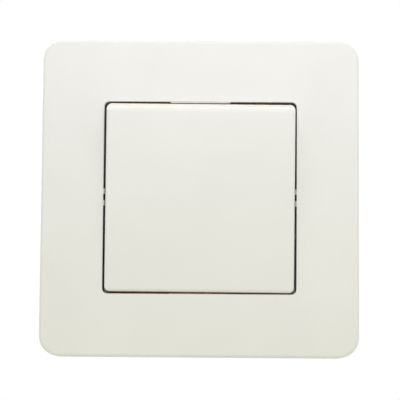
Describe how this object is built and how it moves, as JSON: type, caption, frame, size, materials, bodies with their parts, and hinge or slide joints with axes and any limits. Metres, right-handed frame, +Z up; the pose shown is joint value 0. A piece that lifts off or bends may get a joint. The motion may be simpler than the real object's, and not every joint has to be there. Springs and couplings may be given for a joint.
{
  "type": "wall light switch",
  "caption": "Square flush wall light switch: a cream plastic cover frame round a large tilting rocker, on a steel mounting plate with a two-way switch mechanism for a wall box behind it.",
  "frame": {"origin": "centre of the back of the mounting plate, on the wall surface", "axes": "+Y into the wall, +X to the right as seen from the room, +Z up"},
  "size_m": [0.082, 0.0361, 0.082],
  "materials": {
    "cream_plastic": "satin",
    "cream_plastic_rocker": "satin",
    "dark_plastic": "matte",
    "white_plastic": "matte",
    "grey_plastic": "matte",
    "lever_plastic": "matte",
    "zinc_steel": "zinc plated",
    "spring_steel": "bright",
    "brass": "bright",
    "silver": "bright"
  },
  "bodies": {
    "housing": {"cover_frame": "cream_plastic", "mounting_plate": "zinc_steel", "mechanism_deck": "dark_plastic", "base_housing": "grey_plastic", "rear_cover": "grey_plastic", "common_busbar": "brass", "upper_busbar": "brass", "lower_busbar": "brass", "upper_contact_tip": "silver", "lower_contact_tip": "silver", "upper_clamp_spring": "spring_steel", "lower_clamp_spring": "spring_steel", "common_clamp_spring_upper": "spring_steel", "common_clamp_spring_lower": "spring_steel", "deck_screws": "zinc_steel", "cover_screws": "zinc_steel"},
    "rocker": {"rocker_cap": "cream_plastic_rocker", "rocker_yoke": "dark_plastic", "plunger_spring": "spring_steel"},
    "plunger": {"plunger": "white_plastic"},
    "contact": {"moving_contact": "brass", "moving_contact_tips": "silver"},
    "release_left": {"release_lever_left": "lever_plastic"},
    "release_right": {"release_lever_right": "lever_plastic"}
  },
  "joints": [
    {"name": "rocker_tilt", "type": "hinge", "parent": "housing", "child": "rocker", "pos_m": [0, -0.0054, 0], "axis": [1, 0, 0], "range_deg": [-8, 0]},
    {"name": "contact_rock", "type": "hinge", "parent": "housing", "child": "contact", "pos_m": [0, 0.00885, 0], "axis": [1, 0, 0], "range_deg": [0, 16]},
    {"name": "plunger_slide", "type": "slide", "parent": "rocker", "child": "plunger", "axis": [0, -0.9976, -0.0698], "range_m": [0, 0.001], "stiffness_N_per_m": 300, "springref_m": -0.002, "deforming": ["plunger_spring"]},
    {"name": "release_left_push", "type": "slide", "parent": "housing", "child": "release_left", "axis": [0, -1, 0], "range_m": [0, 0.0012], "stiffness_N_per_m": 400, "springref_m": -0.0005, "deforming": ["upper_clamp_spring", "lower_clamp_spring"]},
    {"name": "release_right_push", "type": "slide", "parent": "housing", "child": "release_right", "axis": [0, -1, 0], "range_m": [0, 0.0012], "stiffness_N_per_m": 400, "springref_m": -0.0005, "deforming": ["common_clamp_spring_upper", "common_clamp_spring_lower"]}
  ],
  "couplings": [
    {"joint": "contact_rock", "follows": "rocker_tilt", "ratio": -2}
  ]
}
